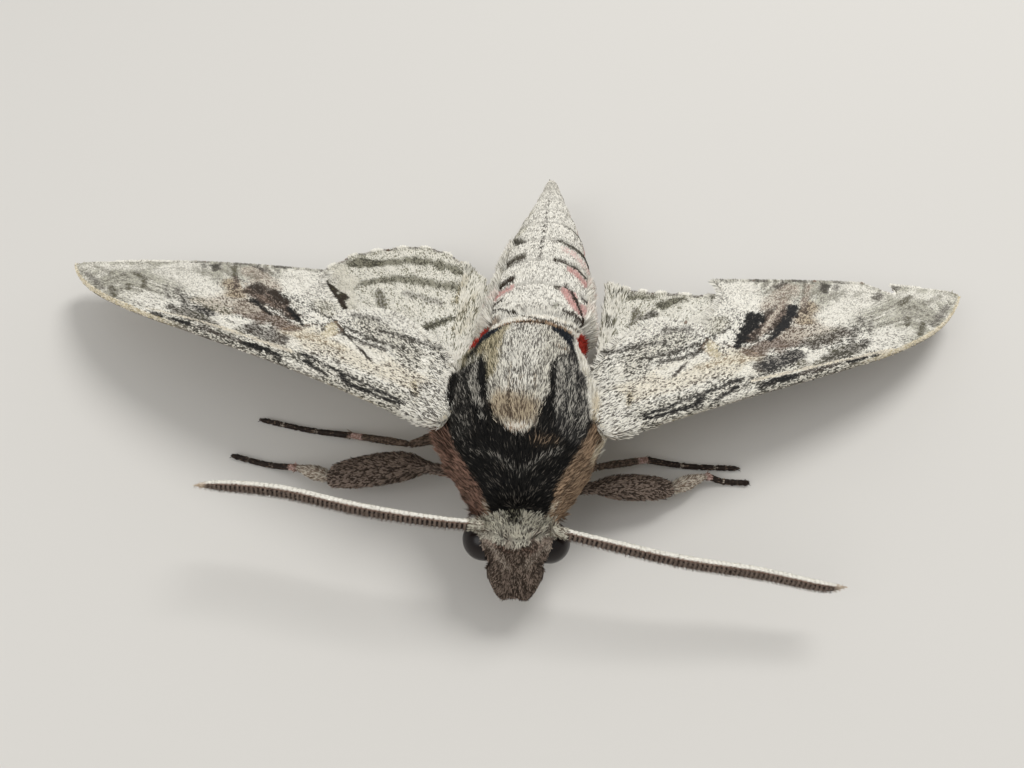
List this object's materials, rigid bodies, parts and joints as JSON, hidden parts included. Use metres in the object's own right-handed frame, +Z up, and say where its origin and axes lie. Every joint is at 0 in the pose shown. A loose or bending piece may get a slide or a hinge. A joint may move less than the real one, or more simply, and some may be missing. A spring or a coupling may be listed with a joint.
{
  "type": "convolvulus hawk moth",
  "caption": "Hawk moth at rest on the ground, wings half spread, feelers out to the sides; still life-size display model.",
  "frame": {"origin": "on the ground under the middle of the whole animal's box", "axes": "+X to the moth's own left wing tip, -Y the way the head points, +Z up from the ground"},
  "size_m": [0.0922, 0.0514, 0.0133],
  "materials": {
    "thorax_fur": "dense grey and tan hair-scales",
    "dark_fur": "black hair-scales with grey tips",
    "head_fur": "grey-green tufts over brown",
    "palp_fur": "brown velvety scales",
    "eye": "dark, softly glossy",
    "abdomen_fur": "pale grey scales with pink, black and white side bars",
    "forewing_scales": "matt grey-white scales with dark streaks",
    "hindwing_scales": "matt pale scales with grey bands",
    "antenna": "pale above, brown and finely toothed below",
    "leg_scales": "grey-brown scales",
    "foot": "dark with pale joints"
  },
  "bodies": {
    "root": {"thorax": "thorax_fur", "collar": "dark_fur", "tegula_left": "dark_fur", "tegula_right": "dark_fur", "head": "head_fur", "palp_left": "palp_fur", "palp_right": "palp_fur", "eye_left": "eye", "eye_right": "eye", "metathorax": "abdomen_fur", "abdomen_1": "abdomen_fur", "abdomen_2": "abdomen_fur", "abdomen_3": "abdomen_fur", "abdomen_4": "abdomen_fur", "abdomen_5": "abdomen_fur", "abdomen_6": "abdomen_fur", "abdomen_7": "abdomen_fur", "abdomen_tip": "abdomen_fur", "forewing_left": "forewing_scales", "forewing_right": "forewing_scales", "hindwing_left": "hindwing_scales", "hindwing_right": "hindwing_scales", "antenna_left": "antenna", "antenna_right": "antenna", "fore_left_femur": "leg_scales", "fore_left_tibia": "leg_scales", "fore_right_femur": "leg_scales", "fore_right_tibia": "leg_scales", "mid_left_femur": "leg_scales", "mid_left_tibia": "leg_scales", "mid_right_femur": "leg_scales", "mid_right_tibia": "leg_scales", "hind_left_femur": "leg_scales", "hind_left_tibia": "leg_scales", "hind_right_femur": "leg_scales", "hind_right_tibia": "leg_scales", "fore_left_tarsus": "foot", "fore_right_tarsus": "foot", "mid_left_tarsus": "foot", "mid_right_tarsus": "foot", "hind_left_tarsus": "foot", "hind_right_tarsus": "foot"}
  },
  "joints": []
}
